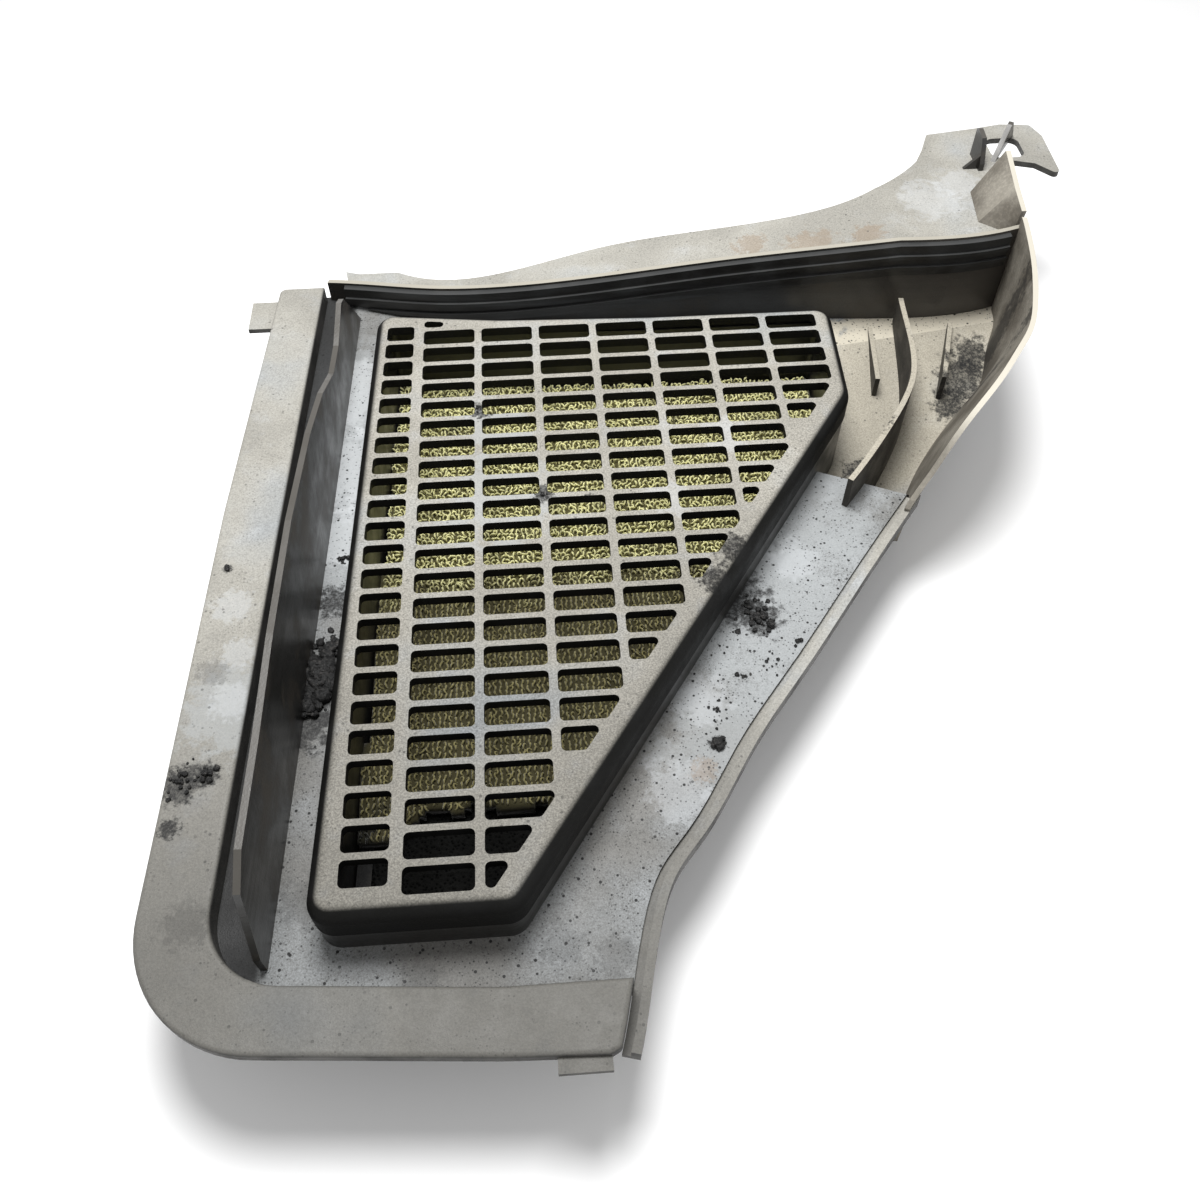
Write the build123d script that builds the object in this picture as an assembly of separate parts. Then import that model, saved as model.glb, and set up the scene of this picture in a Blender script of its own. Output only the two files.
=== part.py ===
from build123d import *
from functools import cache
import math
import os

# Air filter housing: a moulded bulkhead panel with a duct through it, a filter cassette in the duct and a
# slotted cover over the filter. Millimetres. X runs along the slot rows, Y away from the front edge, Z up
# from the deck. The plan is laid out from the middle of the slot grid, with Z = 0 on top of the deck, and
# the finished assembly is moved so that its origin is the middle of its own box, on the lowest face.

# ---- slotted cover ----
slot_pitch_x = 22.0
slot_pitch_y = 9.95
slot_width = 19.4
slot_height = 7.9
slot_corner = 1.6
narrow_slot_width = 13.2
narrow_slot_x = -86.0
narrow_slot_stagger = 3.0
slot_border = 5.2
slot_border_slant = 8.3
slot_least_share = 0.2
slot_columns = range(-3, 4)
slot_rows = range(-12, 13)
cover_height = 22.0
cover_plate = 3.6
cover_skirt_wall = 2.4
cover_skirt_foot = 10.0
cover_edge_round = 5.0
cover_left = 98.5
cover_right = 82.5
cover_front = 118.5
cover_rear = 118.0
cover_rear_left = 127.0
cover_knee = (81.5, 68.0)
cover_toe_x = -45.0
cover_corner = 7.0

# ---- duct collar, its foot and its ledge ----
collar_inset = 0.4
collar_wall = 4.4
collar_tongue = 2.0
collar_tongue_height = 7.0
tongue_gap = 0.4
collar_bottom = -31.0
collar_foot_out = 6.0
collar_foot_thick = 3.0
ledge_width = 5.0
ledge_thick = 2.5
ledge_top = -26.0
rest_gasket_thick = 3.0
rest_gasket_edge = 1.0

# ---- filter cassette ----
cassette_clearance = 0.5
cassette_border = 4.5
cassette_gasket = 2.0
mat_thick = 8.0
foam_thick = 6.5
grid_thick = 1.6
grid_bar = 2.4
grid_pitch = 24.0
seat_gap = 0.3
mat_front = 84.0

# ---- panel ----
sheet = 2.0
flange_height = 8.0
flange_skirt = 4.0
flange_edge_round = 1.4
flange_top_left = 139.0
flange_mid_left = 146.0
flange_front_left = 151.0
flange_front = 152.0
flange_corner = 38.0
flange_rear = 163.0
flange_end = 16.0
step_top_left = 120.0
step_mid_left = 126.0
step_front_left = 130.5
step_front = 134.0
step_corner = 22.0
lip_floor_width = 2.4
lip_bead_width = 2.6
lip_top = 2.5
lip_floor = -1.2

# ---- rear wall, shelf and ear ----
wall_thick = 2.0
wall_left_top = 9.0
wall_right_top = 38.0
wall_left_x = -119.0
wall_level_x = 112.0
shelf_drop = 4.5
shelf_thick = 2.4
shelf_skirt = 5.0
rib_pitch = 11.0
rib_thick = 1.6
rib_reach = 7.0
rib_below_top = 0.8
seal_left = -112.0
seal_right = 157.0
seal_thick = 2.6
seal_share = 0.5
seal_bead = 1.1
seal_bead_height = 1.6
ear_hole = (175.0, 203.8)
ear_hole_width = 14.5
ear_hole_depth = 15.0
ear_hole_corner = 4.0

# ---- recess beside the cover ----
drop_left = (68.0, 50.0)
drop_right = (99.0, 36.0)
fold_right = (162.0, 130.0)
ramp_depth = 24.0

# ---- fins ----
baffle_thick = 2.0
baffle_low = 24.0
baffle_high = 43.0
vane_thick = 2.0
vane_top = 14.0
short_rib_thick = 1.8
inner_rib_top = 2.0
outer_rib_top = 3.0
fin_thick = 2.0
fin_height = 12.7
bridge_fin_height = 10.0
ear_gusset_height = 6.0

# ---- locating tabs ----
tab_thick = 2.0
side_tab_width = 17.0
side_tab_reach = 11.0
side_tab_y = 148.0
front_tab_width = 14.0
front_tab_reach = 4.0
front_tab_x = -30.0

# ---- underside ribs ----
under_rib_depth = 12.0
under_rib_thick = 2.0
under_rib_pitch = 50.0

FAR = 400.0


def block(face, low, high):
    """A plan face carried straight up from one height to another."""
    return extrude(Pos(0, 0, low) * face, high - low)


def rounded(points, radius):
    """A closed plan outline with round corners; radius is one value or one per corner."""
    return make_face(FilletPolyline(*points, radius=radius, close=True).wire())


def inset(face, distance):
    """The same outline, moved inwards all round."""
    return offset(face, amount=-distance, kind=Kind.ARC)


def ring(face, outer, inner):
    """The band between two insets of an outline."""
    return inset(face, outer) - inset(face, inner)


def beside(points, distance):
    """A line of points moved sideways, to the right of its own direction."""
    moved = []
    for i, (x, y) in enumerate(points):
        ax, ay = points[max(i - 1, 0)]
        bx, by = points[min(i + 1, len(points) - 1)]
        length = math.hypot(bx - ax, by - ay)
        moved.append((x + distance * (by - ay) / length, y - distance * (bx - ax) / length))
    return moved


def band(points, left, right):
    """A strip along a curved line, from left to right of it."""
    near = Spline(*beside(points, left))
    far = Spline(*beside(points, right))
    ends = [Line(near @ 0, far @ 0), Line(near @ 1, far @ 1)]
    return make_face(near + far + ends)


def beyond(line, distance):
    """Everything to the right of a straight line that has been moved sideways."""
    start, end = (Vector(*p) for p in beside(line, distance))
    along = (end - start).normalized() * FAR
    right = Vector(along.Y, -along.X)
    return make_face(Polyline(start - along, end + along, end + along + right, start - along + right, close=True))


def profile_on(line, points, thick):
    """An upright plate on a straight plan line, with a profile given as (distance along, height)."""
    (ax, ay), (bx, by) = line
    frame = Plane(origin=(ax, ay, 0), x_dir=(bx - ax, by - ay, 0), z_dir=(by - ay, ax - bx, 0))
    return extrude(frame * make_face(Polyline(*points, close=True)), thick / 2, both=True)


# ---- plan outlines ----

cover_slant = [(cover_toe_x, -cover_front), cover_knee]

cover_outline = rounded(
    [
        (-cover_left + 4, cover_rear_left),
        (-47, cover_rear + 3),
        (12, cover_rear + 0.5),
        (cover_right + 1, cover_rear),
        cover_knee,
        (cover_toe_x, -cover_front),
        (-cover_left - 3, -cover_front),
    ],
    [cover_corner, 60, 80, cover_corner, 14, cover_corner, cover_corner],
)

# The border flange is what lies between the panel's own outline and the foot of its inner step.
panel_outline = rounded(
    [
        (-flange_top_left, flange_rear),
        (-flange_mid_left, 39),
        (-flange_front_left, -flange_front + 7.5),
        (-50, -flange_front),
        (-flange_end - 7.4, -flange_front - 1),
        (-flange_end - 4.5, -flange_front + 0.5),
        (-flange_end - 2.7, -flange_front + 7),
        (-flange_end + 3, -step_front + 12),
        (-flange_end + 3, flange_rear),
    ],
    [3, 200, flange_corner, 200, 1, 2, 20, 1, 1],
)
deck_outline = rounded(
    [
        (-step_top_left, flange_rear + 20),
        (-step_mid_left, 21),
        (-step_front_left, -step_front + 6),
        (-51, -step_front),
        (FAR, -step_front),
        (FAR, flange_rear + 20),
    ],
    [1, 200, step_corner, 60, 1, 1],
)

lip_line = [(-20.5, -151), (-15.2, -130.6), (-11.4, -116.2), (-5.1, -101.3), (4, -90), (23, -62), (44, -35)]
lip_line += [(70, -1), drop_right]

wall_line = [(wall_left_x, 165), (-97, 158), (-73, 150), (-48, 145), (0, 141.5), (40, 140.5), (75, 138.5)]
wall_line += [(110, 136), (131, 135.5), (161.5, 140.8)]

rim_foot = [drop_right, (106.7, 53.4), (116.7, 68.8), (126.9, 80.9), (136.6, 90.7), (146.2, 100.9)]
rim_foot += [(151.7, 115.4), (155.6, 123.7), (160.7, 140.1)]
rim_top = [(95, 26, 4), (105.4, 34.4, 20), (116.5, 43.7, 33), (126.7, 53.5, 38), (137.1, 66.6, 40.5)]
rim_top += [(143.3, 75.3, 41), (151, 94, 41), (156.6, 114.1, 41), (160.5, 140.1, 42.5)]
rim_sections = 12

shelf_line = [(-90, 170), (-64, 159), (-4, 166), (37, 167), (71, 167), (100, 172), (120, 183), (134, 196)]
ear_line = [(138.5, 204.5), (143.5, 216.5), (166, 220), (178, 222.5), (191, 221), (194, 212), (193, 181)]
ear_line += [(184.5, 191), (173.5, 194.5)]
ear_corner = 1.8

vane_line = [(116, 130), (114, 104), (110, 84), (103, 70), (95, 58), (84, 43), (75, 32)]
inner_rib_line = [(105, 127), (103.3, 112), (101.4, 96)]
outer_rib_line = [(138.5, 127), (133.4, 111.7), (127.5, 94)]


def wall_top_at(x):
    """Height of the rear wall's top edge, which climbs to the right and then runs level."""
    share = min((x - wall_left_x) / (wall_level_x - wall_left_x), 1.0)
    return wall_left_top + (wall_right_top - wall_left_top) * share


def below_wall_top(drop_low, drop_high):
    """Everything between two lines that run below the wall's top edge, as one deep prism."""
    ends = (wall_left_x - 20, wall_level_x, FAR)
    upper = [(x, wall_top_at(x) - drop_high) for x in ends]
    lower = [(x, wall_top_at(x) - drop_low) for x in reversed(ends)]
    profile = Plane.XZ * make_face(Polyline(*upper, *lower, close=True))
    return extrude(profile, -FAR)


def fold_frame():
    """The recess floor's own plane: it hinges down about a line from the cover's corner to the rim."""
    ax, ay = cover_right, cover_rear
    bx, by = fold_right
    length = math.hypot(bx - ax, by - ay)
    across = ((by - ay) / length, -(bx - ax) / length)
    reach = (drop_right[0] - ax) * across[0] + (drop_right[1] - ay) * across[1]
    fall = ramp_depth / reach
    normal = Vector(across[0] * fall, across[1] * fall, 1)
    return Plane(origin=(ax, ay, 0), x_dir=(bx - ax, by - ay, 0), z_dir=normal)


ramp_plane = fold_frame()


def floor_at(x, y):
    """Height of the recess floor under a point."""
    n, o = ramp_plane.z_dir, ramp_plane.origin
    return min(0.0, -(n.X * (x - o.X) + n.Y * (y - o.Y)) / n.Z)


def under_ramp():
    """Everything below the top of the recess floor."""
    return ramp_plane * Pos(0, 0, -FAR / 2) * Box(2 * FAR, 2 * FAR, FAR)


def recess_plan():
    """Plan of the recess, out into the foot of the rim."""
    edge = Spline(*beside(rim_foot, sheet / 2))
    corner = (cover_right, cover_rear)
    rest = Polyline(edge @ 1, (cover_right - 8, (edge @ 1).Y), (cover_right - 8, cover_rear), drop_left, edge @ 0)
    return make_face(edge + rest) - beyond([fold_right, corner], 0)


@cache
def collar_hole():
    """The opening that the duct collar passes through."""
    return inset(cover_outline, collar_inset)


# ---- panel ----

@cache
def deck_plate():
    edge = Spline(*lip_line)
    foot = Spline(*beside(rim_foot, sheet / 2))
    back = Spline(*beside(wall_line, -wall_thick / 2))
    rest = [
        Line(edge @ 1, foot @ 0),
        Line(foot @ 1, back @ 1),
        Polyline(back @ 0, (-FAR, flange_rear), (-FAR, -151), edge @ 0),
    ]
    region = make_face(edge + foot + back + rest)
    plan = (region & inset(deck_outline, -sheet)) - collar_hole() - recess_plan()
    front_cut = Pos(0, -step_front - sheet - FAR / 2) * Rectangle(2 * FAR, FAR)
    return block(plan - front_cut, -sheet, 0) - side_rim()


@cache
def border_flange():
    plan = panel_outline - deck_outline
    shell = block(plan, flange_skirt, flange_height)
    shell = fillet(shell.edges().group_by(Axis.Z)[-1], flange_edge_round)
    hollow = block(inset(plan, sheet), 0, flange_height - sheet)
    step = block((inset(deck_outline, -sheet) - deck_outline) & panel_outline, 0, flange_skirt)
    return shell - hollow + step


@cache
def edge_lip():
    floor = block(band(lip_line, 0, lip_floor_width), lip_floor - sheet, lip_floor)
    bead_end = lip_floor_width + lip_bead_width
    bead = block(band(lip_line, lip_floor_width, bead_end), lip_floor - sheet, lip_top)
    return floor + bead - border_flange() - side_rim()


@cache
def drop_riser():
    plan = Polyline(drop_left, drop_right, *reversed(beside([drop_left, drop_right], sheet)), close=True)
    return block(make_face(plan) - collar_hole(), -ramp_depth - sheet, -sheet) - edge_lip() - side_rim()


def recess_floor():
    column = block(recess_plan() - collar_hole(), -FAR, 0)
    slab = ramp_plane * Pos(0, 0, -sheet / 2) * Box(2 * FAR, 2 * FAR, sheet)
    return (column & slab) - side_rim() - drop_riser()


@cache
def side_rim():
    """The curved wall outside the recess, which rises from the front and leans outwards."""
    foot_curve = Spline(*rim_foot)
    top_curve = Spline(*rim_top)
    sections = []
    for i in range(rim_sections + 1):
        share = i / rim_sections
        point, along = foot_curve @ share, foot_curve % share
        skin = Vector(along.Y, -along.X, 0) * sheet
        foot = Vector(point.X, point.Y, floor_at(point.X, point.Y) - sheet)
        top = top_curve @ share
        sections.append(make_face(Polyline(foot, foot + skin, top + skin, top, close=True)))
    return loft(sections)


@cache
def rear_wall():
    strip = block(band(wall_line, -wall_thick / 2, wall_thick / 2), 0, FAR)
    return (strip & below_wall_top(FAR, 0)) - side_rim()


@cache
def bulkhead_seal():
    """The soft seal on the upper half of the rear wall, with two beads along it."""
    low = (wall_right_top - wall_left_top) * seal_share
    strip = block(band(wall_line, wall_thick / 2, wall_thick / 2 + seal_thick), 1, FAR)
    seal = strip & below_wall_top(low, 1.0)
    for drop in (5.0, 10.0):
        rib = block(band(wall_line, wall_thick / 2, wall_thick / 2 + seal_thick + seal_bead), 1, FAR)
        seal += rib & below_wall_top(drop + seal_bead_height, drop)
    window = Pos((seal_left + seal_right) / 2, 150) * Rectangle(seal_right - seal_left, 100)
    return (seal & block(window, 0, FAR)) - side_rim() - border_flange()


def shelf_outline():
    outer = Spline(*shelf_line)
    ear = FilletPolyline(shelf_line[-1], *ear_line, radius=ear_corner)
    inner = Spline(*wall_line[1:-1], (160, 140.5))
    left = Polyline(inner @ 0, (-111, 166), (-113, 176), (-107, 173), shelf_line[0])
    right = Polyline(ear @ 1, (170, 178), (166, 150), inner @ 1)
    return make_face(outer + ear + inner + left + right)


@cache
def rear_shelf():
    hole = Pos(*ear_hole) * RectangleRounded(ear_hole_width, ear_hole_depth, ear_hole_corner)
    top = block(shelf_outline() - hole, 0, FAR) & below_wall_top(shelf_drop + shelf_thick, shelf_drop)
    hem = block(band(shelf_line, 0, sheet), 0, FAR)
    skirt = hem & below_wall_top(shelf_drop + shelf_skirt, shelf_drop + shelf_thick)
    return top + skirt - rear_wall() - side_rim() - border_flange()


def rim_gusset():
    """The rim's end, which leans out over the shelf and rises to a point."""
    shelf_top = wall_right_top - shelf_drop
    feet = [(159.5, 141.8), (148.5, 151), (151, 172)]
    tops = [(160.5, 141.8, 44), (159.8, 152, 47.5), (160.5, 171.5, 52)]
    sections = []
    for foot, top in zip(feet, tops):
        foot = Vector(*foot, shelf_top)
        top = Vector(*top)
        skin = Vector(sheet, 0, 0)
        sections.append(make_face(Polyline(foot, foot + skin, top + skin, top, close=True)))
    return loft(sections, ruled=True) - rear_wall() - side_rim()


def shelf_ribs():
    """Small triangular ribs between the rear wall and the shelf."""
    spine = Spline(*wall_line)
    ribs = []
    count = int(spine.length / rib_pitch)
    for i in range(3, count - 3):
        share = i * rib_pitch / spine.length
        point, along = spine @ share, spine % share
        back = Vector(-along.Y, along.X, 0)
        low = Vector(0, 0, wall_top_at(point.X) - shelf_drop)
        high = Vector(0, 0, wall_top_at(point.X) - rib_below_top)
        profile = make_face(Polyline(point + low, point + back * rib_reach + low, point + high, close=True))
        ribs.append(extrude(profile, rib_thick / 2, dir=along, both=True) - rear_wall() - rear_shelf())
    return Compound(children=ribs)


# ---- fins ----

def left_baffle():
    """The tall fin between the flange and the cover, with a stepped top edge and tapered ends."""
    line = [(-107.0, 151.0), (-115.4, -123.0)]
    length = math.dist(*line)
    low, high = baffle_low, baffle_high
    profile = [(0, 0), (22, low + 3), (27, low + 5), (46, low), (62, low + 0.5), (82, high - 10), (108, high - 4)]
    profile += [(150, high), (192, high - 1), (226, high - 4), (256, high - 5), (266, high - 10), (length, 8)]
    return profile_on(line, profile + [(length, 0)], baffle_thick) - rear_wall() - bulkhead_seal()


def clear_of_floor(fin):
    """Trims a fin to what stands above the deck and the recess floor."""
    in_front = block(beyond([drop_left, drop_right], 0), -FAR, 0)
    behind = block(beyond([fold_right, (cover_right, cover_rear)], 0), -FAR, 0)
    ramp = under_ramp() - block(beyond([drop_left, drop_right], 0), -FAR, 0)
    return fin - in_front - behind - ramp


def fin_on(line, thick, top):
    """A fin along a curved line, from the floor under it up to one height."""
    return clear_of_floor(block(band(line, -thick / 2, thick / 2), -ramp_depth - sheet, top)) - deck_plate()


def ear_fins():
    """Two guide fins and a small gusset on the ear; one fin bridges the ear's hole."""
    base = wall_right_top - shelf_drop
    upright = [(0, 0), (13, 0), (13, fin_height - 0.7), (11.5, fin_height), (5, fin_height - 0.7), (0, 3)]
    fin = profile_on([(159.5, 187), (159.5, 200)], upright, fin_thick)
    bridge_line = [(166.6, 193.4), (180.6, 213.6)]
    span = math.dist(*bridge_line)
    arch = [(0, 0), (span, 0), (0.68 * span, bridge_fin_height), (0.58 * span, bridge_fin_height)]
    bridge = profile_on(bridge_line, arch, fin_thick)
    small = profile_on([(152.5, 189.5), (158.5, 189.5)], [(0, 0), (6, 0), (6, ear_gusset_height)], rib_thick)
    return Compound(children=[Pos(0, 0, base) * piece for piece in (fin, bridge, small)])


# ---- locating tabs ----

def side_tab():
    left = Pos(-flange_top_left, side_tab_y) * Rectangle(2 * side_tab_reach, side_tab_width)
    return block(left - panel_outline, flange_skirt, flange_skirt + tab_thick)


def front_tab():
    plan = Pos(front_tab_x, -flange_front) * Rectangle(front_tab_width, 2 * front_tab_reach + 1)
    return block(plan - panel_outline, flange_skirt, flange_skirt + tab_thick)


# ---- duct ----

def duct_collar():
    outer = collar_inset
    inner = collar_inset + collar_wall
    tongue_outer = cover_skirt_wall + tongue_gap
    wall = block(ring(cover_outline, outer, inner), collar_bottom, cover_skirt_foot)
    tongue_top = cover_skirt_foot + collar_tongue_height
    tongue = block(ring(cover_outline, tongue_outer, tongue_outer + collar_tongue), cover_skirt_foot, tongue_top)
    foot = block(ring(cover_outline, outer - collar_foot_out, inner), collar_bottom, collar_bottom + collar_foot_thick)
    ledge = block(ring(cover_outline, inner, inner + ledge_width), ledge_top - ledge_thick, ledge_top)
    return wall + tongue + foot + ledge


def rest_gasket():
    outer = collar_inset - collar_foot_out + rest_gasket_edge
    inner = collar_inset + collar_wall - rest_gasket_edge
    return block(ring(cover_outline, outer, inner), collar_bottom - rest_gasket_thick, collar_bottom)


def slot_faces():
    """Every slot of the cover: full ones, and those that its slanting sides cut short."""
    field = inset(cover_outline, slot_border) - beyond(cover_slant, -slot_border_slant)
    faces = []
    for row in slot_rows:
        for column in [None, *slot_columns]:
            x = narrow_slot_x if column is None else column * slot_pitch_x
            width = narrow_slot_width if column is None else slot_width
            stagger = narrow_slot_stagger if column is None else 0
            here = Pos(x, row * slot_pitch_y + stagger)
            cut = here * Rectangle(width, slot_height) & field
            if not cut or cut.area < slot_least_share * slot_width * slot_height:
                continue
            if cut.area > 0.999 * width * slot_height:
                faces.append(here * RectangleRounded(width, slot_height, slot_corner))
            else:
                faces.append(inset(inset(cut, slot_corner), -slot_corner))
    return faces


def grille_cover():
    """The cover: a slotted plate with rounded shoulders and a skirt that seats on the collar."""
    shell = block(cover_outline, cover_skirt_foot, cover_height)
    shell = fillet(shell.faces().sort_by(Axis.Z)[-1].edges(), cover_edge_round)
    core = inset(cover_outline, cover_skirt_wall)
    hollow = block(core, cover_skirt_foot, cover_height - cover_plate)
    hollow = fillet(hollow.faces().sort_by(Axis.Z)[-1].edges(), cover_edge_round - cover_skirt_wall)
    slots = [block(face, cover_height - cover_plate - 1, cover_height + 1) for face in slot_faces()]
    return shell - hollow - slots


# ---- filter cassette ----

cassette_outer = collar_inset + collar_wall + cassette_clearance
cassette_bottom = ledge_top + cassette_gasket
grid_top = cassette_bottom + grid_thick
foam_top = grid_top + foam_thick


def cassette_ring():
    return ring(cover_outline, cassette_outer, cassette_outer + cassette_border)


def cassette_plan(gap):
    """The cassette's whole plan, less a gap all round."""
    return inset(cover_outline, cassette_outer + gap)


def cassette_hole(gap):
    """The inside of the cassette's frame, less a gap all round."""
    return inset(cover_outline, cassette_outer + cassette_border + gap)


def filter_frame():
    return block(cassette_ring(), cassette_bottom, foam_top)


def filter_gasket():
    return block(cassette_ring(), ledge_top, cassette_bottom)


def backing_grid():
    bars = []
    for i in range(-5, 6):
        bars.append(Pos(i * grid_pitch, 0) * Rectangle(grid_bar, FAR))
        bars.append(Pos(0, i * grid_pitch) * Rectangle(FAR, grid_bar))
    return block(cassette_hole(0) & Sketch() + bars, cassette_bottom, grid_top)


def foam_pad():
    return block(cassette_hole(seat_gap), grid_top, foam_top)


def fleece_mat():
    """The fleece lies over the foam and the frame; it stops short of the cassette's front."""
    front_cut = Pos(0, -mat_front - FAR / 2) * Rectangle(FAR, FAR)
    return block(cassette_plan(seat_gap) - front_cut, foam_top, foam_top + mat_thick)


def under_ribs():
    """Stiffeners under the deck's left side, between the panel's step and the collar."""
    low = -sheet - under_rib_depth
    ribs = []
    for i in range(4):
        y = (i - 1.5) * under_rib_pitch
        plan = Pos(-(step_mid_left + cover_left) / 2, y) * Rectangle(step_mid_left - cover_left + 8, under_rib_thick)
        ribs.append(block(plan - collar_hole(), low, -sheet))
    return Compound(children=ribs)


pieces = {
    "deck_plate": deck_plate(),
    "border_flange": border_flange(),
    "edge_lip": edge_lip(),
    "drop_riser": drop_riser(),
    "recess_floor": recess_floor(),
    "side_rim": side_rim(),
    "rim_gusset": rim_gusset(),
    "rear_wall": rear_wall(),
    "bulkhead_seal": bulkhead_seal(),
    "rear_shelf": rear_shelf(),
    "shelf_ribs": shelf_ribs(),
    "left_baffle": left_baffle(),
    "long_vane": fin_on(vane_line, vane_thick, vane_top),
    "short_rib_inner": fin_on(inner_rib_line, short_rib_thick, inner_rib_top),
    "short_rib_outer": fin_on(outer_rib_line, short_rib_thick, outer_rib_top),
    "ear_fins": ear_fins(),
    "side_tab": side_tab(),
    "front_tab": front_tab(),
    "duct_collar": duct_collar(),
    "rest_gasket": rest_gasket(),
    "grille_cover": grille_cover(),
    "filter_frame": filter_frame(),
    "filter_gasket": filter_gasket(),
    "backing_grid": backing_grid(),
    "foam_pad": foam_pad(),
    "fleece_mat": fleece_mat(),
    "under_ribs": under_ribs(),
}

boxes = [piece.bounding_box() for piece in pieces.values()]
left, right = min(box.min.X for box in boxes), max(box.max.X for box in boxes)
near, far = min(box.min.Y for box in boxes), max(box.max.Y for box in boxes)
to_origin = Pos(-(left + right) / 2, -(near + far) / 2, -min(box.min.Z for box in boxes))
print("moved by", to_origin.position)

os.makedirs("parts", exist_ok=True)
for name, piece in pieces.items():
    print(name, piece.is_valid, round(piece.volume), len(piece.solids()))
    export_step(to_origin * piece, f"parts/{name}.step")
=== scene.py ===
"""Looks for the air filter housing: grimy moulded plastic, looped filter fleece, foam, soot and a camera."""
import math

import bpy
import numpy as np
from mathutils import Matrix, Vector
from mathutils.bvhtree import BVHTree


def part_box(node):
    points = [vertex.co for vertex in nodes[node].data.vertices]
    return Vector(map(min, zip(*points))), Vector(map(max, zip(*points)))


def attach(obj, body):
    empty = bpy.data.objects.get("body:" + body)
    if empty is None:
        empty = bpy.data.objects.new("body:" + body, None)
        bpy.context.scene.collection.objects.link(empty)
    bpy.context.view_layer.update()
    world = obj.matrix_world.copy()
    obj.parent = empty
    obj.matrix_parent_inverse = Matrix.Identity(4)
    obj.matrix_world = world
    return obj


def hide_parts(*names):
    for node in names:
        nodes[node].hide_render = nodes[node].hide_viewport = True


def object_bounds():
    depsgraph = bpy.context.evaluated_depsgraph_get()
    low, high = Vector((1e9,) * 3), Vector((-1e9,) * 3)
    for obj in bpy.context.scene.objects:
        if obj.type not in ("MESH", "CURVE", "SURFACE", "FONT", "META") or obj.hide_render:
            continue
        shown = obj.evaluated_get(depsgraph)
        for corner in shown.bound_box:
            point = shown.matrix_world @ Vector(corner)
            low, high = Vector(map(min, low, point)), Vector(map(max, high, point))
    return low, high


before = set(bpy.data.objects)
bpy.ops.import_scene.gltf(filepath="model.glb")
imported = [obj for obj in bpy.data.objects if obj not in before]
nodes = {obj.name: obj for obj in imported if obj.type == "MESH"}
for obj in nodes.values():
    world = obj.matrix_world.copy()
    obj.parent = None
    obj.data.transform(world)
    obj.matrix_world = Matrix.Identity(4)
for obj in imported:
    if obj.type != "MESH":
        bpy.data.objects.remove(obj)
cad_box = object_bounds()
MM = 0.001

# Places are given in millimetres from the middle of the cover's slot grid, at the height of the deck's top.
COVER_LEFT = 101.4
COVER_FRONT = 118.5
DECK_TO_COVER = 22.0
cover_low, cover_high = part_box("grille_cover")
grid_middle = Vector((
    cover_low.x + COVER_LEFT * MM,
    cover_low.y + COVER_FRONT * MM,
    cover_high.z - DECK_TO_COVER * MM,
))


def at(x, y, z=0.0):
    return grid_middle + Vector((x, y, z)) * MM


# ---- node-material building blocks ----

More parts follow.
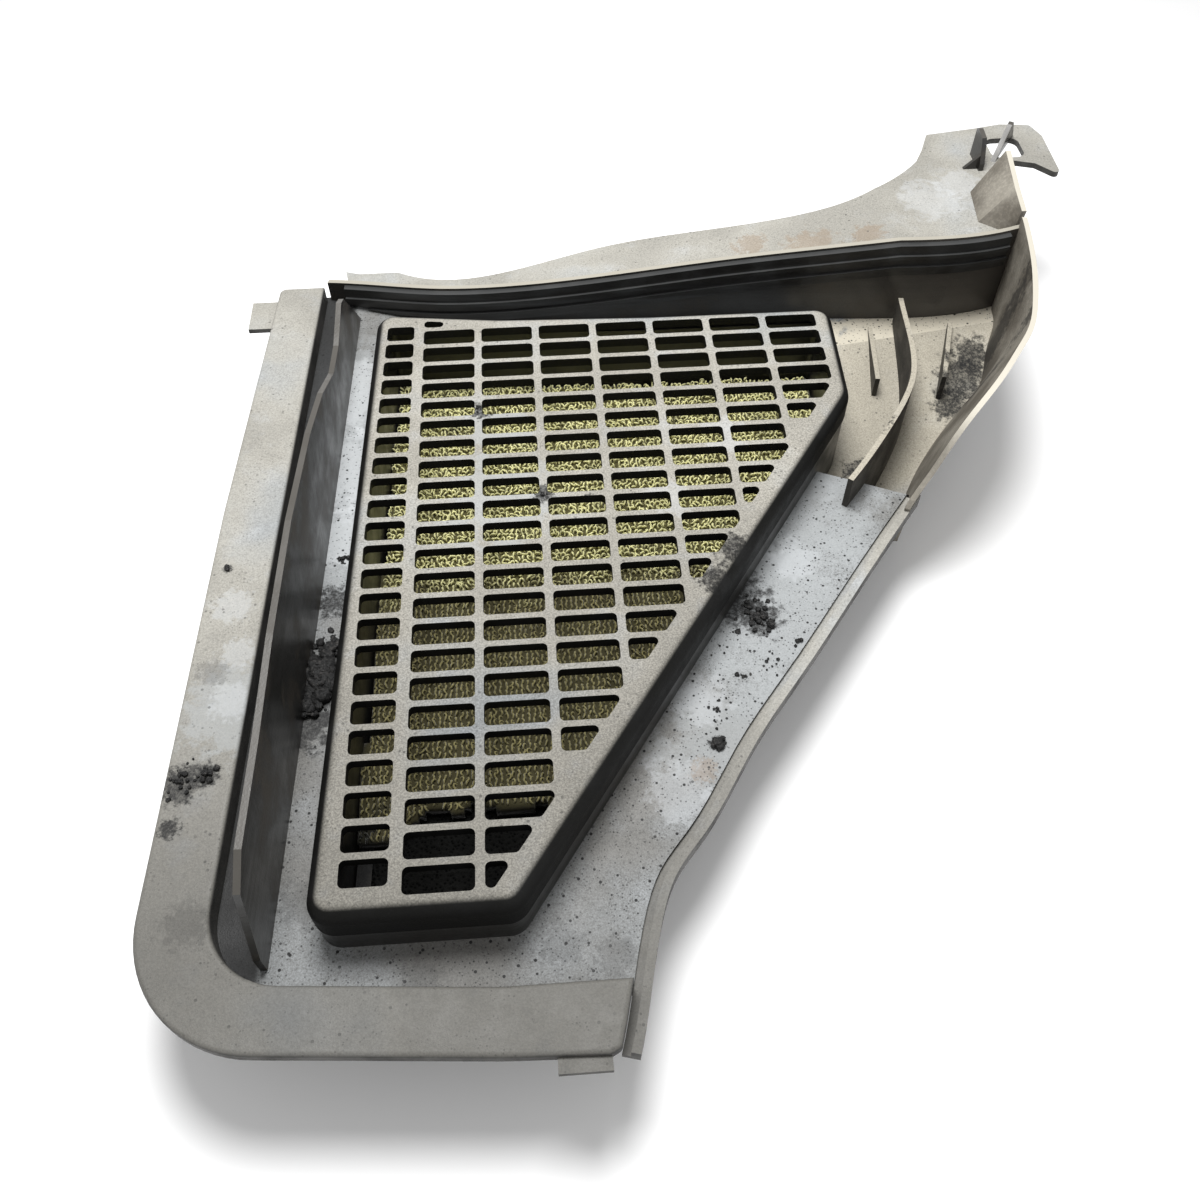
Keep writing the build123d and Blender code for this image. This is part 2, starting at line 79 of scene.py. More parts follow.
class Graph:
    """A principled material with short helpers for the nodes that feed it."""

    def __init__(self, name):
        self.material = bpy.data.materials.new(name)
        self.material.use_nodes = True
        self.nodes = self.material.node_tree.nodes
        self.links = self.material.node_tree.links
        self.shader = self.nodes["Principled BSDF"]
        coords = self.nodes.new("ShaderNodeTexCoord")
        self.place = coords.outputs["Object"]
        self.normal = coords.outputs["Normal"]

    def plug(self, value, socket):
        if isinstance(value, bpy.types.NodeSocket):
            self.links.new(value, socket)
        elif isinstance(value, tuple) and len(value) == 3 and socket.type == "RGBA":
            socket.default_value = (*value, 1.0)
        else:
            socket.default_value = value

    def math(self, operation, a, b):
        node = self.nodes.new("ShaderNodeMath")
        node.operation = operation
        self.plug(a, node.inputs[0])
        self.plug(b, node.inputs[1])
        return node.outputs[0]

    def step(self, value, low, high, out_low=0.0, out_high=1.0):
        """A smooth rise from out_low to out_high as value goes from low to high."""
        node = self.nodes.new("ShaderNodeMapRange")
        node.interpolation_type = "SMOOTHSTEP"
        self.plug(value, node.inputs["Value"])
        ends = {"From Min": low, "From Max": high, "To Min": out_low, "To Max": out_high}
        for socket, number in ends.items():
            self.plug(number, node.inputs[socket])
        return node.outputs["Result"]

    def stretched(self, factors):
        node = self.nodes.new("ShaderNodeMapping")
        self.plug(self.place, node.inputs["Vector"])
        node.inputs["Scale"].default_value = factors
        return node.outputs["Vector"]

    def noise(self, size_mm, detail, roughness=0.55, vector=None):
        node = self.nodes.new("ShaderNodeTexNoise")
        self.plug(vector or self.place, node.inputs["Vector"])
        node.inputs["Scale"].default_value = 1.0 / (size_mm * MM)
        node.inputs["Detail"].default_value = detail
        node.inputs["Roughness"].default_value = roughness
        return node.outputs["Fac"]

    def cells(self, size_mm):
        node = self.nodes.new("ShaderNodeTexVoronoi")
        self.plug(self.place, node.inputs["Vector"])
        node.inputs["Scale"].default_value = 1.0 / (size_mm * MM)
        return node.outputs["Distance"]

    def mix(self, share, a, b):
        node = self.nodes.new("ShaderNodeMix")
        node.data_type = "RGBA"
        self.plug(share, node.inputs["Factor"])
        self.plug(a, node.inputs["A"])
        self.plug(b, node.inputs["B"])
        return node.outputs["Result"]

    def axis(self, name):
        node = self.nodes.new("ShaderNodeSeparateXYZ")
        self.plug(self.place, node.inputs[0])
        return node.outputs[name]

    def facing(self, axis):
        """How far the surface faces along an axis: for Z, 1 on a floor and 0 on a wall."""
        node = self.nodes.new("ShaderNodeSeparateXYZ")
        self.plug(self.normal, node.inputs[0])
        return node.outputs[axis]

    def patch(self, x, y, radius_mm):
        """A ragged-edged round patch about a place in plan: 1 in the middle, 0 outside."""
        node = self.nodes.new("ShaderNodeVectorMath")
        node.operation = "DISTANCE"
        flat = self.nodes.new("ShaderNodeVectorMath")
        flat.operation = "MULTIPLY"
        self.plug(self.place, flat.inputs[0])
        flat.inputs[1].default_value = (1.0, 1.0, 0.0)
        self.plug(flat.outputs[0], node.inputs[0])
        centre = at(x, y)
        node.inputs[1].default_value = (centre.x, centre.y, 0.0)
        rough_edge = self.step(self.noise(radius_mm * 0.35, 5.0, 0.7), 0.3, 0.7, -0.35, 0.35)
        reach = self.math("ADD", node.outputs["Value"], self.math("MULTIPLY", rough_edge, radius_mm * MM))
        return self.step(reach, radius_mm * 0.55 * MM, radius_mm * MM, 1.0, 0.0)

    def specks(self, cell_mm, dot_share, area_mm, sparse):
        """Small dark grains in some areas and not in others, which are more the lower sparse is."""
        dots = self.step(self.cells(cell_mm), dot_share * 0.7, dot_share, 1.0, 0.0)
        where = self.step(self.noise(area_mm, 4.0, 0.6), sparse, sparse + 0.14)
        return self.math("MULTIPLY", dots, where)

    def bump(self, *layers):
        """Surface relief: each layer is (height socket, depth in mm)."""
        above = None
        for height, depth_mm in layers:
            node = self.nodes.new("ShaderNodeBump")
            node.inputs["Distance"].default_value = depth_mm * MM
            self.plug(height, node.inputs["Height"])
            if above is not None:
                self.links.new(above, node.inputs["Normal"])
            above = node.outputs["Normal"]
        self.links.new(above, self.shader.inputs["Normal"])

    def finish(self, colour, roughness, specular=0.4, coat=0.0):
        self.plug(colour, self.shader.inputs["Base Color"])
        self.plug(roughness, self.shader.inputs["Roughness"])
        self.shader.inputs["Specular IOR Level"].default_value = specular
        self.shader.inputs["Coat Weight"].default_value = coat
        self.shader.inputs["Coat Roughness"].default_value = 0.25
        return self.material


# ---- materials ----

SOOT = (0.012, 0.012, 0.012)
COOL_DUST = (0.33, 0.345, 0.35)
PALE_STAIN = (0.52, 0.54, 0.56)
# Bare plastic under the dust, and also the dark of the walls, which is painted shade.
BARE_PLASTIC_AND_SHADE = (0.068, 0.066, 0.061)
DARK_PLASTIC = (0.013, 0.0125, 0.0115)
RECESS_DUST = (0.52, 0.48, 0.39)

# Kinds of patch: the colour, and how much of it shows.
PATCH_KINDS = {
    "soot": (SOOT, 0.95),
    "smear": (SOOT, 0.30),
    "pale": (PALE_STAIN, 0.30),
    "bright": ((0.55, 0.57, 0.58), 0.5),
    "cool": (COOL_DUST, 0.55),
    "warm": (RECESS_DUST, 1.0),
    "rust": ((0.20, 0.115, 0.045), 0.35),
}
# How far the dark band along the deck's left edge leans in x for each step in y.
GUTTER_LEAN = -0.031


def dusty_plastic(name, dust, patches, cool, speck, grainy, pale=0.3, pepper=0.25, smudge=0.2,
                  sparse=0.46, bare_and_shade=BARE_PLASTIC_AND_SHADE, front=(-150, -60), front_keep=0.55, gutter=None,
                  level=(0.25, 0.85), specular=0.3):
    """Moulded plastic with dust on what faces up, walls darkened as painted shade, soot grains and named
    patches.

    patches are (kind, x, y, radius), with the kinds in PATCH_KINDS, and only soot also lies on walls.
    front is the stretch of y over which the colour darkens forwards towards the bare colour until front_keep
    of the dust colour is left.
    cool, pale, grainy, pepper, smudge and speck say how much of each the dust has, and sparse how few
    areas have grains. gutter is the stretch of x over which the dark band on the left ends, and level the
    range of slope over which the colour goes from the painted shade of the walls to the dust on top.
    """
    g = Graph(name)
    low, high = (at(0, y).y for y in front)
    grain = g.noise(0.55, 2.0, 0.7)
    mottled = g.noise(14.0, 5.0, 0.62)
    broad = g.noise(55.0, 3.0, 0.5)
    dust_here = g.mix(g.step(broad, 0.5 - 0.25 * cool, 0.75 - 0.35 * cool), dust, COOL_DUST)
    dust_here = g.mix(g.step(mottled, 0.52, 0.72, 0.0, pale), dust_here, PALE_STAIN)
    dust_here = g.mix(g.step(broad, 0.42, 0.62, smudge, 0.0), dust_here, bare_and_shade)
    dust_here = g.mix(g.step(grain, 0.35, 0.68, grainy, 0.0), dust_here, bare_and_shade)
    dust_here = g.mix(g.step(g.noise(0.8, 3.0, 0.85), 0.53, 0.63, 0.0, pepper), dust_here, bare_and_shade)
    # Darker towards the front.
    front_fade = g.step(g.axis("Y"), low, high, front_keep, 1.0)
    dust_here = g.mix(front_fade, bare_and_shade, dust_here)
    # Up-facing faces take the dust colour. Walls take the dark bare colour mottled with soot, which is
    # painted shade.
    dust_and_wall_shade = g.step(g.facing("Z"), *level)
    colour = g.mix(dust_and_wall_shade, g.mix(g.step(mottled, 0.4, 0.65, 0.0, 0.5), bare_and_shade, SOOT), dust_here)
    crumbs = g.noise(1.3, 5.0, 0.8)
    for kind, x, y, radius in patches:
        spot = g.patch(x, y, radius)
        tint, strength = PATCH_KINDS[kind]
        least = 0.6 if kind == "soot" else 0.85
        broken = g.math("MULTIPLY", spot, g.step(crumbs, 0.38, 0.56, least * strength, strength))
        if kind != "soot":
            broken = g.math("MULTIPLY", broken, dust_and_wall_shade)
        colour = g.mix(broken, colour, tint)
    dots = g.math("MULTIPLY", g.specks(3.2, 0.17, 22.0, sparse), speck)
    fine = g.math("MULTIPLY", g.specks(1.3, 0.24, 9.0, sparse), speck * 0.7)
    colour = g.mix(dots, colour, SOOT)
    colour = g.mix(fine, colour, SOOT)
    # A near-black band along the deck's left edge, left of the baffle.
    if gutter:
        left, right = (at(x, 0).x for x in gutter)
        left_band_across = g.math("ADD", g.axis("X"), g.math("MULTIPLY", g.axis("Y"), GUTTER_LEAN))
        colour = g.mix(g.step(left_band_across, left, right, 0.94, 0.0), colour, SOOT)
    g.bump((grain, 0.10), (mottled, 0.25))
    return g.finish(colour, g.step(mottled, 0.3, 0.8, 0.50, 0.78), specular=specular)


def deck_material():
    patches = [
        ("cool", 50, 25, 34), ("cool", 45, -10, 36), ("cool", 24, -60, 30), ("cool", 75, 50, 26),
        ("cool", 60, 60, 20),
        ("cool", -104, 60, 26), ("cool", -103, 110, 26), ("cool", -104, 20, 24), ("cool", -103, 90, 22),
        ("pale", 3, -77, 13), ("pale", 13, -46, 11), ("pale", 52, 8, 10), ("pale", -103, 44, 9),
        ("warm", 92, 114, 24), ("warm", 118, 120, 28), ("warm", 146, 128, 28), ("rust", 11, -71, 5),
        ("soot", 27, -5, 16), ("soot", 22, 5, 13), ("soot", 37, -16, 9), ("soot", 16, -62, 3),
        ("bright", -104, 104, 24), ("bright", -104, 64, 24), ("bright", -104, 30, 18), ("bright", 40, 22, 14),
        ("soot", -108, -30, 18), ("soot", -112, -46, 12), ("soot", -106, 2, 8),
        ("smear", -73, -129, 7), ("smear", -35, -121, 8), ("smear", -20, -125, 7), ("smear", -106, -104, 9),
    ]
    return dusty_plastic("deck_plastic", (0.23, 0.226, 0.213), patches, front=(-130, -55), front_keep=0.72,
                         cool=0.6, speck=1.0, grainy=0.4, pepper=0.62, sparse=0.34, gutter=(-113.5, -110.5))


def recess_material():
    # Near-black patches on the recess floor, three of them along the outer short rib.
    patches = [("soot", 139, 103, 12), ("soot", 146, 114, 10), ("soot", 132, 91, 9), ("soot", 90, 62, 8)]
    return dusty_plastic("recess_plastic", RECESS_DUST, patches, bare_and_shade=(0.055, 0.05, 0.042),
                         cool=0.0, speck=0.55, pale=0.1, grainy=0.3)


def flange_material():
    patches = [
        ("cool", -132, -44, 20),
        ("pale", -137, -4, 8), ("pale", -133, -23, 7), ("pale", -133, -41, 8),
        ("soot", -144, -69, 8), ("soot", -137, -66, 5), ("soot", -145, -83, 4), ("soot", -141, 12, 2),
        ("smear", -117, -100, 4), ("smear", -136, -112, 8), ("smear", -140, -30, 6),
        ("rust", 80, 146, 12), ("rust", 103, 148, 8), ("rust", 56, 153, 8),
        ("pale", 133, 168, 16), ("pale", 147, 178, 12),
    ]
    return dusty_plastic("flange_plastic", (0.425, 0.41, 0.365), patches, front=(-132, -18), front_keep=0.27,
                         cool=0.0, speck=0.5, grainy=0.3, smudge=0.3)


def grille_material():
    patches = [
        ("cool", -50, 60, 16), ("cool", -50, 25, 24), ("pale", 30, 50, 12), ("pale", 10, 20, 10),
        ("soot", -54, 68, 5), ("soot", -18, 22, 3), ("soot", -33, 26, 5),
        ("soot", 28, -3, 8), ("soot", 20, -14, 7),
    ]
    # The near-black bare colour and the narrow level range make the cover's shoulders, front face and slanted
    # side dark: painted shade.
    return dusty_plastic("grille_plastic", (0.44, 0.42, 0.37), patches, bare_and_shade=(0.006, 0.006, 0.0055),
                         front=(-110, 45), front_keep=0.64, cool=0.0, speck=0.5, grainy=0.4,
                         level=(0.82, 0.99), specular=0.12)


def wall_material(name, film, streak, edge_tint=(0.34, 0.32, 0.27), faded=None):
    """Dark moulded faces with an oily film and long streaks, which may fade to brown along x."""
    g = Graph(name)
    streaks = g.noise(30.0, 4.0, 0.6, vector=g.stretched((0.12, 0.12, 2.2)))
    smears = g.noise(18.0, 5.0, 0.6)
    grain = g.noise(0.7, 2.0, 0.6)
    colour = g.mix(g.step(smears, 0.45, 0.68), DARK_PLASTIC, film)
    colour = g.mix(g.step(streaks, 0.5, 0.7, 0.0, streak), colour, (0.055, 0.06, 0.062))
    if faded:
        start, end = (at(x, 0).x for x in faded)
        colour = g.mix(g.step(g.axis("X"), start, end, 0.0, 0.75), colour, (0.075, 0.068, 0.060))
    top = g.step(g.facing("Z"), 0.55, 0.95)
    colour = g.mix(top, colour, edge_tint)
    g.bump((grain, 0.05), (streaks, 0.35))
    return g.finish(colour, g.step(smears, 0.35, 0.7, 0.28, 0.55), specular=0.5, coat=0.15)


def rim_material():
    g = Graph("rim_plastic")
    clouds = g.noise(22.0, 5.0, 0.6)
    fine = g.noise(1.2, 3.0, 0.7)
    colour = g.mix(g.step(clouds, 0.38, 0.66), (0.13, 0.115, 0.092), (0.29, 0.268, 0.225))
    colour = g.mix(g.step(fine, 0.4, 0.7, 0.35, 0.0), colour, (0.045, 0.040, 0.034))
    inner_side = g.step(g.facing("X"), -0.5, 0.0, 0.7, 0.0)
    for x, y, radius in ((149, 112, 10), (150, 84, 6), (138, 84, 6)):
        colour = g.mix(g.math("MULTIPLY", g.patch(x, y, radius), inner_side), colour, SOOT)
    edge = g.step(g.facing("Z"), 0.5, 0.9)
    colour = g.mix(edge, colour, (0.50, 0.47, 0.40))
    g.bump((fine, 0.08), (clouds, 0.3))
    return g.finish(colour, 0.6)


def rubber_material():
    g = Graph("sponge_rubber")
    pores = g.cells(0.9)
    clouds = g.noise(8.0, 4.0)
    colour = g.mix(g.step(clouds, 0.4, 0.7), (0.012, 0.012, 0.012), (0.03, 0.028, 0.025))
    g.bump((pores, 0.15), (clouds, 0.2))
    return g.finish(colour, 0.8, specular=0.3)


def foam_material():
    g = Graph("filter_foam")
    pores = g.cells(1.1)
    colour = g.mix(g.step(pores, 0.1, 0.5), (0.001, 0.001, 0.001), (0.008, 0.008, 0.0075))
    g.bump((pores, 0.8))
    return g.finish(colour, 0.95, specular=0.06)


OLIVE_TO_Y = at(0, 2).y
YELLOW_FROM_Y = at(0, 24).y


def fleece_material(name, bright, front_shade, front_edge):
    """Yellow loops, darker olive towards the front as painted shade, and black at the front edge."""
    g = Graph(name)
    clouds = g.noise(9.0, 4.0, 0.6)
    fibre = g.noise(0.5, 2.0, 0.8)
    fade = g.math("ADD", g.axis("Y"), g.step(clouds, 0.3, 0.7, -8 * MM, 8 * MM))
    # The olive towards the front is painted shade; the yellow is the yarn's own colour.
    colour = g.mix(g.step(fade, OLIVE_TO_Y, YELLOW_FROM_Y), front_shade, bright)
    colour = g.mix(g.step(fade, front_edge, front_edge + 10 * MM), (0.012, 0.012, 0.009), colour)
    colour = g.mix(g.step(fibre, 0.35, 0.65, 0.3, 0.0), colour, (0.05, 0.045, 0.02))
    colour = g.mix(g.step(clouds, 0.55, 0.75, 0.0, 0.5), colour, (0.045, 0.04, 0.022))
    g.shader.inputs["Sheen Weight"].default_value = 0.35
    g.shader.inputs["Sheen Roughness"].default_value = 0.4
    g.bump((fibre, 0.12))
    return g.finish(colour, 0.9, specular=0.2)


def soot_material():
    g = Graph("soot_lumps")
    lumps = g.noise(1.6, 5.0, 0.7)
    colour = g.mix(g.step(lumps, 0.5, 0.75), (0.006, 0.006, 0.006), (0.075, 0.07, 0.065))
    g.bump((lumps, 0.9))
    return g.finish(colour, 0.55, specular=0.5)


def floor_material():
    g = Graph("floor")
    return g.finish((0.93, 0.93, 0.93), 0.9, specular=0.1)


# ---- carried-over CAD nodes: a finish and softened edges ----

PLAIN_EDGE_MM = 0.35
COVER_EDGE_MM = 0.6


def dress(name, material, edge_mm):
    node = nodes[name]
    node.data.materials.clear()
    node.data.materials.append(material)
    bevel = node.modifiers.new("softened_edges", "BEVEL")
    bevel.width = edge_mm * MM
    bevel.segments = 2
    bevel.limit_method = "ANGLE"
    bevel.angle_limit = math.radians(35)
    bevel.use_clamp_overlap = True
    bevel.harden_normals = False


deck = deck_material()
recess = recess_material()
flange = flange_material()
grille = grille_material()
fin = wall_material("fin_plastic", (0.045, 0.038, 0.029), streak=0.1, edge_tint=(0.065, 0.060, 0.052))
wall = wall_material("wall_plastic", (0.030, 0.024, 0.017), streak=0.12, faded=(70, 150))
seal = wall_material("seal_rubber", (0.020, 0.021, 0.021), streak=0.7, edge_tint=(0.035, 0.036, 0.036))
rim = rim_material()
black = rubber_material()
collar = wall_material("collar_plastic", (0.016, 0.015, 0.014), streak=0.1, edge_tint=(0.02, 0.02, 0.019))

FINISHES = {
    deck: ["deck_plate", "under_ribs"],
    recess: ["recess_floor", "drop_riser", "long_vane", "short_rib_inner", "short_rib_outer"],
    flange: ["border_flange", "edge_lip", "side_tab", "front_tab", "rear_shelf"],
    grille: ["grille_cover"],
    fin: ["left_baffle", "ear_fins", "shelf_ribs"],
    wall: ["rear_wall"],
    seal: ["bulkhead_seal"],
    rim: ["side_rim", "rim_gusset"],
    collar: ["duct_collar"],
    black: ["rest_gasket", "filter_gasket", "filter_frame", "backing_grid"],
}
for finish, members in FINISHES.items():
    for member in members:
        dress(member, finish, COVER_EDGE_MM if member == "grille_cover" else PLAIN_EDGE_MM)


# ---- filter media ----

def new_piece(name, vertices, faces, material, body):
    mesh = bpy.data.meshes.new(name)
    mesh.from_pydata(vertices, [], faces)
    mesh.update()
    mesh.materials.append(material)
    mesh.polygons.foreach_set("use_smooth", [True] * len(mesh.polygons))
    piece = bpy.data.objects.new(name, mesh)
    bpy.context.scene.collection.objects.link(piece)
    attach(piece, body)
    return piece


def plan_test(node):
    """A test of whether a place in plan lies over a CAD node."""
    mesh = nodes[node].data
    tree = BVHTree.FromPolygons([v.co for v in mesh.vertices], [p.vertices for p in mesh.polygons])
    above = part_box(node)[1].z + 20 * MM

    def over(x, y):
        return tree.ray_cast(Vector((x, y, above)), Vector((0, 0, -1)))[0] is not None

    return over


def waves(x, y, size, seed):
    """A smooth made-up relief between about -1 and 1."""
    total = 0.0
    for k in range(1, 5):
        turn = seed + 1.7 * k
        across = x * math.cos(turn) + y * math.sin(turn)
        total += math.sin(across / size * (1 + 0.45 * k) + 2.1 * turn) / (k + 1)
    return total


def slab(name, over, low, high, step, relief, keep, material, body):
    """A soft slab on a fine grid: its top follows relief(x, y), and keep(x, y) says where it is whole."""
    (x0, y0), (x1, y1) = low[:2], high[:2]
    columns = int((x1 - x0) / step) + 1
    rows = int((y1 - y0) / step) + 1
    cells = set()
    for i in range(columns):
        for j in range(rows):
            x, y = x0 + (i + 0.5) * step, y0 + (j + 0.5) * step
            if over(x, y) and keep(x, y):
                cells.add((i, j))
    index, vertices, faces = {}, [], []

    def corner(i, j, top):
        if (i, j, top) not in index:
            x, y = x0 + i * step, y0 + j * step
            index[(i, j, top)] = len(vertices)
            vertices.append((x, y, relief(x, y) if top else low[2]))
        return index[(i, j, top)]

    for i, j in sorted(cells):
        faces.append([corner(i, j, 1), corner(i + 1, j, 1), corner(i + 1, j + 1, 1), corner(i, j + 1, 1)])
        faces.append([corner(i, j + 1, 0), corner(i + 1, j + 1, 0), corner(i + 1, j, 0), corner(i, j, 0)])
        sides = [((i, j), (i + 1, j), (i, j - 1)), ((i + 1, j), (i + 1, j + 1), (i + 1, j))]
        sides += [((i + 1, j + 1), (i, j + 1), (i, j + 1)), ((i, j + 1), (i, j), (i - 1, j))]
        for a, b, beyond in sides:
            if beyond not in cells:
                faces.append([corner(*a, 0), corner(*b, 0), corner(*b, 1), corner(*a, 1)])
    return new_piece(name, vertices, faces, material, body)


MAT_SINK = 2.6 * MM
LOOP_PITCH = 1.8 * MM
LOOP_RADIUS = 0.82 * MM
YARN_RADIUS = 0.34 * MM
RIB_FROM_Y = at(0, 12).y
WORN_FROM_X = at(-82, 0).x

mat_low, mat_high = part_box("fleece_mat")
foam_low, foam_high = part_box("foam_pad")
over_mat = plan_test("fleece_mat")
over_foam = plan_test("foam_pad")


def mat_height(x, y):
    return mat_high.z - MAT_SINK + 1.0 * MM * waves(x, y, 9 * MM, 0.4)


def ragged_front(x, y):
    """Whether a place lies behind the mat's torn front edge, which is worn back except at its left end."""
    torn = 2.5 + 2.5 * waves(x, 0, 4 * MM, 2.0) + 2 * waves(x, 0, 13 * MM, 0.9)
    worn = 8 * min(1.0, max(0.0, (x - WORN_FROM_X) / (10 * MM)))
    return y > mat_low.y + (torn + worn) * MM


def foam_height(x, y):
    return foam_high.z - 0.4 * MM + 0.3 * MM * waves(x, y, 3 * MM, 1.1)


fleece_bright = fleece_material("fleece_loops", (1.0, 0.97, 0.50), (0.27, 0.24, 0.105), mat_low.y)
fleece_dull = fleece_material("fleece_backing", (0.10, 0.09, 0.035), (0.050, 0.044, 0.020), mat_low.y)
backing = slab("fleece_backing", over_mat, mat_low, mat_high, 2.0 * MM, mat_height, ragged_front,
               fleece_dull, "filter")
foam = slab("foam_block", over_foam, foam_low, foam_high, 3.0 * MM, foam_height, lambda x, y: True,
            foam_material(), "filter")
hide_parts("fleece_mat")
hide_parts("foam_pad")


def yarn_loop(centre, turn, lean, radius):
    """Vertices and faces of one standing loop of yarn, an open tube bent through most of a turn."""
    sides, bends = 4, 7
    along = Vector((math.cos(turn), math.sin(turn), 0))
    across = Vector((-math.sin(turn), math.cos(turn), 0))
    up = (Vector((0, 0, 1)) + across * lean).normalized()
    vertices, faces = [], []
    for i in range(bends):
        swing = math.radians(-35 + 250 * i / (bends - 1))
        out = along * math.cos(swing) + up * math.sin(swing) * 1.15
        middle = centre + out * radius
        side = across - up * across.dot(up)
        for j in range(sides):
            round_angle = 2 * math.pi * j / sides
            offset = out.normalized() * math.cos(round_angle) + side.normalized() * math.sin(round_angle)
            vertices.append(middle + offset * YARN_RADIUS)
    for i in range(bends - 1):
        for j in range(sides):
            k = (j + 1) % sides
            faces.append([i * sides + j, i * sides + k, (i + 1) * sides + k, (i + 1) * sides + j])
    return vertices, faces


def fleece_loops():
    """Loops of yarn over the whole mat: in loose tufts at the back, in knitted ribs towards the front."""
    random = np.random.default_rng(7)
    vertices, faces = [], []
    columns = int((mat_high.x - mat_low.x) / LOOP_PITCH)
    rows = int((mat_high.y - mat_low.y) / LOOP_PITCH)
    for i in range(columns):
        for j in range(rows):
            jitter = random.uniform(-0.3, 0.3, 2)
            x = mat_low.x + (i + 0.5 + jitter[0]) * LOOP_PITCH
            y = mat_low.y + (j + 0.5 + jitter[1]) * LOOP_PITCH
            ribbed = y < RIB_FROM_Y + 6 * MM * waves(x, y, 11 * MM, 3.0)
            turn = math.pi / 2 + random.normal(0, 0.25) if ribbed else random.uniform(0, math.pi)
            if ribbed:
                x -= 0.7 * jitter[0] * LOOP_PITCH
            if not (over_mat(x, y) and ragged_front(x, y)):
                continue
            lift = 0.2 if ribbed else 0.75
            centre = Vector((x, y, mat_height(x, y) + lift * LOOP_RADIUS))
            size = LOOP_RADIUS * random.uniform(0.8, 1.2)
            some, their_faces = yarn_loop(centre, turn, random.normal(0, 0.45), size)
            first = len(vertices)
            vertices.extend(some)
            faces.extend([first + k for k in face] for face in their_faces)
    new_piece("fleece_loops", vertices, faces, fleece_bright, "filter")


fleece_loops()


# ---- loose soot and grit ----

def lump(random, centre, radius):
    """One rough lump, as an uneven low sphere."""
    rings, sides = 5, 7
    vertices, faces = [], []
    squash = random.uniform(0.45, 0.8)
    for i in range(rings + 1):
        polar = math.pi * i / rings
        for j in range(sides):
            turn = 2 * math.pi * j / sides
            reach = radius * random.uniform(0.65, 1.25)
            flat = math.sin(polar)
            direction = Vector((flat * math.cos(turn), flat * math.sin(turn), math.cos(polar) * squash))
            vertices.append(centre + direction * reach)
    for i in range(rings):
        for j in range(sides):
            k = (j + 1) % sides
            faces.append([i * sides + j, (i + 1) * sides + j, (i + 1) * sides + k, i * sides + k])
    return vertices, faces


def grit(name, heaps, height_mm, seed, body, ground):
    """Heaps of lumps lying on the level top of the ground node, height_mm above the deck.

    heaps are (x, y, radius, count, largest lump).
    """
    random = np.random.default_rng(seed)
    vertices, faces = [], []
    over_ground = plan_test(ground)
    for x, y, radius, count, largest in heaps:
        for _ in range(count):
            far = radius * abs(random.normal(0, 0.5))
            turn = random.uniform(0, 2 * math.pi)
            size = largest * random.uniform(0.2, 1.0) ** 2 + 0.25
            pile = max(0.0, 1 - far / radius) * largest * 0.7
            centre = at(x + far * math.cos(turn), y + far * math.sin(turn), height_mm + size * 0.4 + pile)
            reach = size * 1.3 * MM
            corners = [(centre.x + a * reach, centre.y + b * reach) for a in (-1, 1) for b in (-1, 1)]
            if not all(over_ground(*corner) for corner in corners):
                continue
            some, their_faces = lump(random, centre, size * MM)
            first = len(vertices)
            vertices.extend(some)
            faces.extend([first + k for k in face] for face in their_faces)
    new_piece(name, vertices, faces, soot, body)


soot = soot_material()
left_heaps = [(-107, -29, 8, 200, 3.2), (-111, -40, 5, 70, 2.2), (-106, -18, 6, 50, 1.4)]
slant_heaps = [(27, -4, 6, 150, 2.2), (24, 5, 5, 70, 1.8), (36, -15, 8, 70, 0.9), (40, -18, 2, 12, 1.3)]
deck_heaps = [
    (16.5, -62, 2.5, 22, 1.3), (36, -51, 3, 8, 0.8), (48, -26, 2, 8, 0.8), (28, -38, 3, 8, 0.6),
    (40, -34, 9, 14, 0.5), (18, -50, 10, 14, 0.4), (-104, 20, 6, 12, 0.7), (12, -33, 14, 10, 0.5),
]
flange_heaps = [(-144, -68, 6, 30, 0.7), (-137, -66, 3, 14, 0.9), (-141, 12, 1.2, 5, 0.9)]
grille_heaps = [(-54, 68.5, 2.0, 14, 0.9), (-34, 25.6, 2.6, 10, 0.6)]
grit("deck_soot_heap", left_heaps, 0.0, 3, "panel", "deck_plate")
grit("slant_soot_heap", slant_heaps, 0.0, 5, "panel", "deck_plate")
grit("deck_crumbs", deck_heaps, 0.0, 8, "panel", "deck_plate")
grit("flange_crumbs", flange_heaps, 8.0, 9, "panel", "border_flange")
grit("grille_crumbs", grille_heaps, DECK_TO_COVER, 11, "cover", "grille_cover")


# ---- floor, light and camera ----

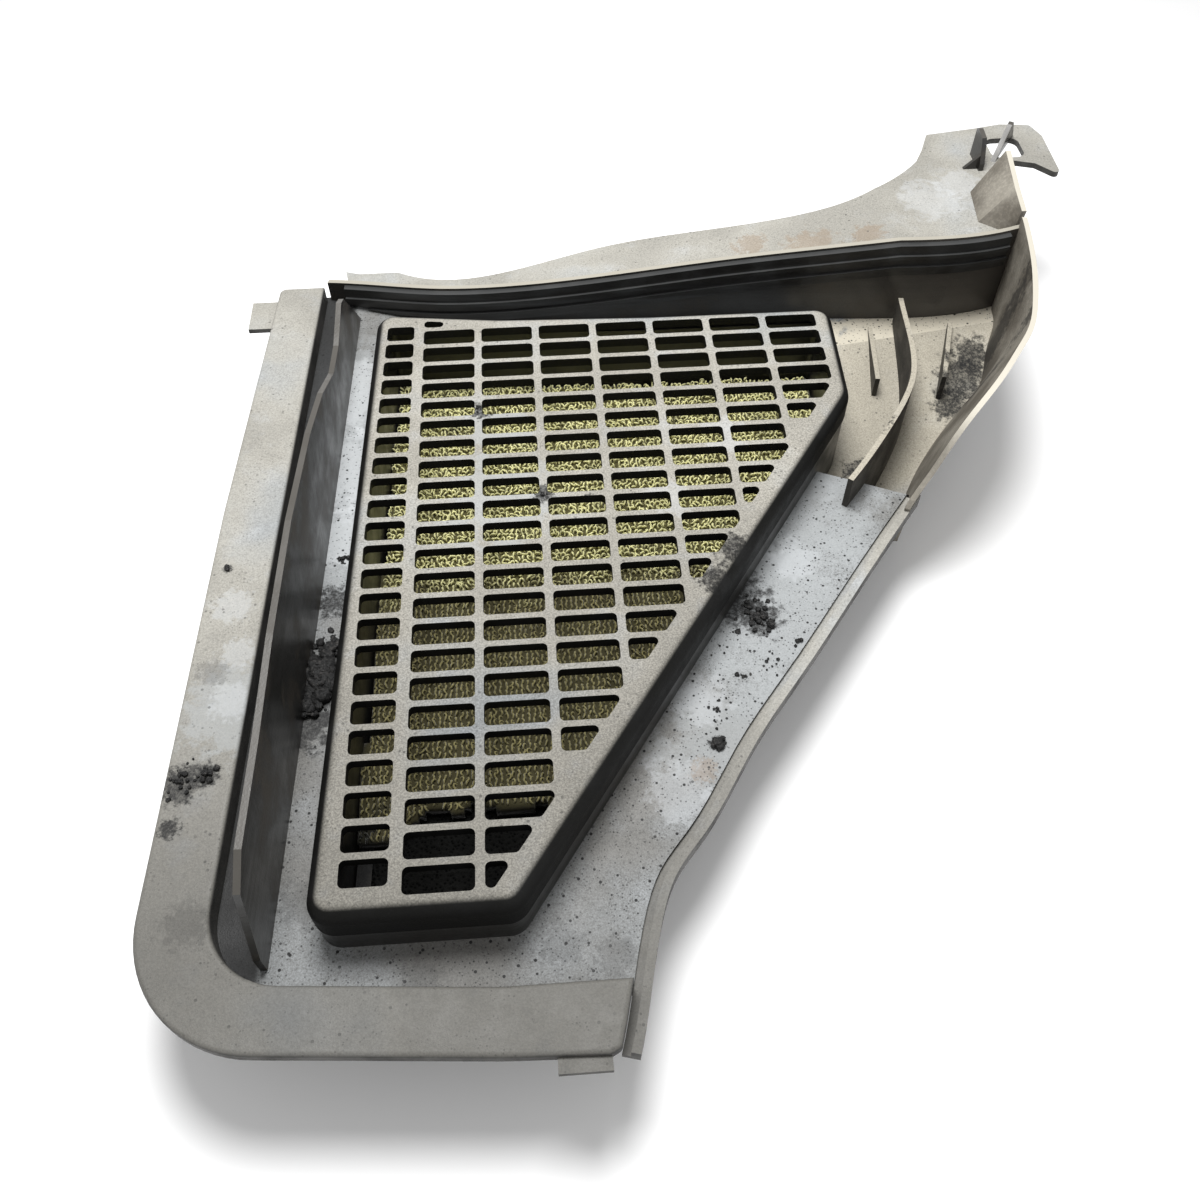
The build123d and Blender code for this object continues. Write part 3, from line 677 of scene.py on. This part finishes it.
FLOOR_REACH = 12.0
FLOOR_GAP = 0.2 * MM
SKY_STRENGTH = 0.52
LENS_MM = 33.0
CAMERA_PLACE = (-30.7, -228.0, 298.0)
CAMERA_RIGHT = (0.9976, -0.0692, -0.0032)
CAMERA_BACK = (-0.0391, -0.6002, 0.7989)


def floor():
    mesh = bpy.data.meshes.new("floor")
    corners = [(a * FLOOR_REACH, b * FLOOR_REACH, 0) for a, b in ((-1, -1), (1, -1), (1, 1), (-1, 1))]
    mesh.from_pydata(corners, [], [(0, 1, 2, 3)])
    mesh.materials.append(floor_material())
    plane = bpy.data.objects.new("floor", mesh)
    plane.location.z = cad_box[0][2] - FLOOR_GAP
    bpy.context.scene.collection.objects.link(plane)


def area_light(name, place, target, size, power):
    data = bpy.data.lights.new(name, "AREA")
    data.shape = "DISK"
    data.size = size
    data.energy = power
    light = bpy.data.objects.new(name, data)
    light.location = place
    light.rotation_euler = (Vector(target) - Vector(place)).to_track_quat("-Z", "Y").to_euler()
    bpy.context.scene.collection.objects.link(light)


def sky():
    world = bpy.data.worlds.new("pale_room")
    world.use_nodes = True
    background = world.node_tree.nodes["Background"]
    background.inputs["Color"].default_value = (1.0, 1.0, 1.0, 1.0)
    background.inputs["Strength"].default_value = SKY_STRENGTH
    bpy.context.scene.world = world


def camera():
    data = bpy.data.cameras.new("camera")
    data.sensor_width = 36.0
    data.lens = LENS_MM
    data.clip_start = 0.01
    holder = bpy.data.objects.new("camera", data)
    back = Vector(CAMERA_BACK)
    up = back.cross(Vector(CAMERA_RIGHT)).normalized()
    right = up.cross(back).normalized()
    turn = Matrix((right, up, back.normalized())).transposed().to_4x4()
    holder.matrix_world = Matrix.Translation(at(*CAMERA_PLACE)) @ turn
    bpy.context.scene.collection.objects.link(holder)
    bpy.context.scene.camera = holder


floor()
sky()
middle = at(0, 0)
key_place = middle + Vector((-0.05, 0.14, 0.66))
key_target = middle + Vector((-0.02, 0.1, 0))
area_light("key", key_place, key_target, size=0.32, power=6.5)
area_light("front_fill", middle + Vector((0.3, -0.8, 0.7)), middle, size=0.9, power=1.2)
camera()
bpy.context.scene.view_settings.view_transform = "Standard"

bpy.context.view_layer.update()
